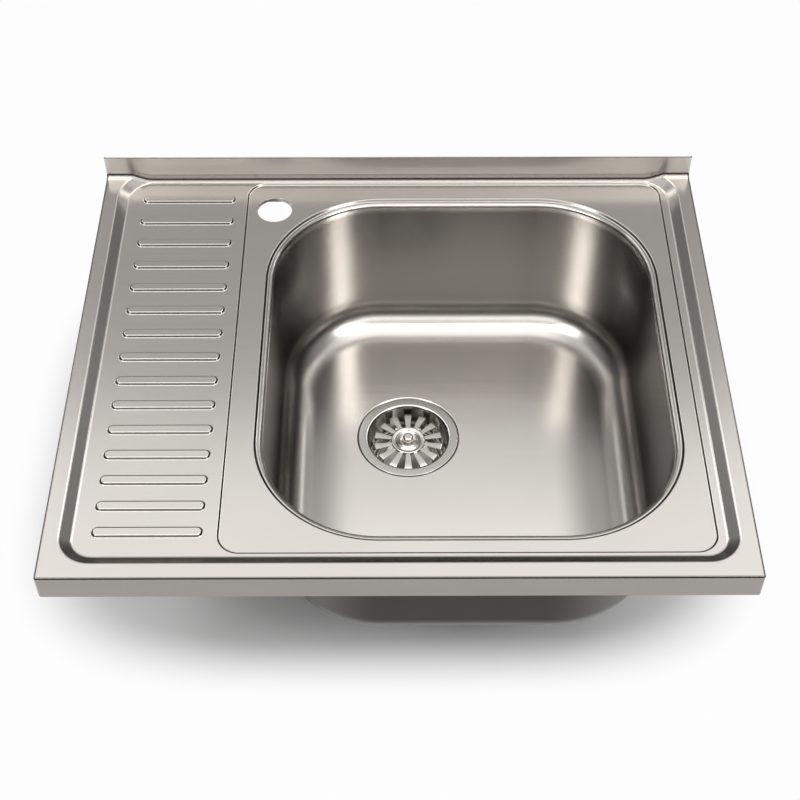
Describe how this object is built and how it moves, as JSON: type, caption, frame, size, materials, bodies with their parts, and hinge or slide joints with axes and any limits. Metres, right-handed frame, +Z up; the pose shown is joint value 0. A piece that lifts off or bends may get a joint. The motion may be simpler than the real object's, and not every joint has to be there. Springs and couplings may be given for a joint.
{
  "type": "kitchen sink",
  "caption": "Lay-on steel kitchen sink with a ribbed drainer at the left, a deep bowl, a tap hole, an upstand at the wall and a basket strainer waste.",
  "frame": {"origin": "middle of the sink's footprint, in the plane in which its folded lips rest on the cabinet", "axes": "+X to the right, from the drainer to the bowl, +Y to the wall, +Z up"},
  "size_m": [0.6, 0.5, 0.2835],
  "materials": {
    "deck_steel": "brushed from left to right",
    "bowl_steel": "satin, drawn",
    "waste_steel": "polished",
    "basket_steel": "polished",
    "galvanised": "galvanised, dull",
    "rubber": "matte",
    "damping": "matte",
    "body_plastic": "moulded",
    "brass": "turned"
  },
  "bodies": {
    "sink": {"deck": "deck_steel", "upstand": "deck_steel", "bowl": "bowl_steel", "tap_ring": "galvanised", "drainer_channel": "galvanised", "bowl_pad": "damping", "bracket_front_left": "galvanised", "bracket_front_right": "galvanised", "bracket_rear_left": "galvanised", "bracket_rear_right": "galvanised", "waste_flange": "waste_steel", "flange_gasket": "rubber", "body_gasket": "rubber", "waste_body": "body_plastic", "thread_insert": "brass", "centre_screw": "waste_steel"},
    "basket": {"strainer_basket": "basket_steel"},
    "stopper": {"basket_knob": "basket_steel", "basket_stem": "basket_steel", "stem_foot": "body_plastic", "basket_plug": "rubber", "plug_disc": "basket_steel", "plug_nut": "galvanised"}
  },
  "joints": [
    {"name": "basket_lift", "type": "slide", "parent": "sink", "child": "basket", "axis": [0, 0, 1], "range_m": [0, 0.27]},
    {"name": "stopper_pull", "type": "slide", "parent": "basket", "child": "stopper", "axis": [0, 0, 1], "range_m": [0, 0.007]}
  ]
}
